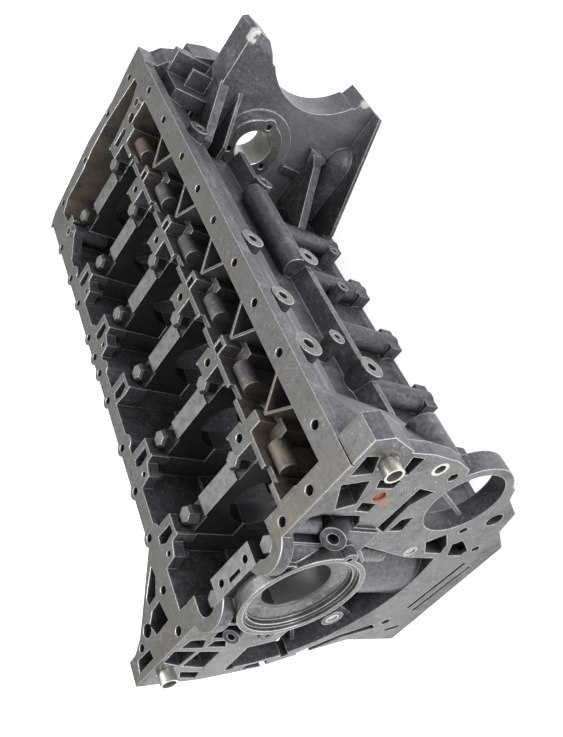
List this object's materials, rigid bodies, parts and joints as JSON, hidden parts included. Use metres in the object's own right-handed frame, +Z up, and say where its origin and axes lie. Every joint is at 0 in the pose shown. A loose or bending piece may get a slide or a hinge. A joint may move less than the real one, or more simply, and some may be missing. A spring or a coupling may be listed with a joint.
{
  "type": "engine block",
  "caption": "Inline cylinder block with open crankcase, main bearing caps, side oil chamber, gearbox flange and pump plate.",
  "frame": {"origin": "crank axis at the gearbox flange face", "axes": "+X along the crank away from the gearbox, +Z up to the open crankcase (the sump side), -Z to the cylinder head face it rests on"},
  "size_m": [0.6495, 0.433, 0.297],
  "materials": {
    "cast_alloy": "sand-cast grey with milled faces",
    "liner_iron": "honed bore",
    "cap_iron": "milled",
    "bolt_steel": "oiled dark steel",
    "sleeve_steel": "bright, slightly stained",
    "plug_alloy": "plain",
    "rusty_steel": "rusty"
  },
  "bodies": {
    "root": {"crankcase_casting": "cast_alloy", "cylinder_liner_1": "liner_iron", "cylinder_liner_2": "liner_iron", "cylinder_liner_3": "liner_iron", "cylinder_liner_4": "liner_iron", "cylinder_liner_5": "liner_iron", "cylinder_liner_6": "liner_iron", "main_cap_1": "cap_iron", "main_cap_2": "cap_iron", "main_cap_3": "cap_iron", "main_cap_4": "cap_iron", "main_cap_5": "cap_iron", "main_cap_6": "cap_iron", "main_cap_7": "cap_iron", "main_cap_bolts": "bolt_steel", "gearbox_dowel_sleeves": "sleeve_steel", "rail_dowel_sleeves": "sleeve_steel", "gallery_plugs": "plug_alloy", "screw_plug": "rusty_steel", "threaded_insert": "sleeve_steel"}
  },
  "joints": []
}
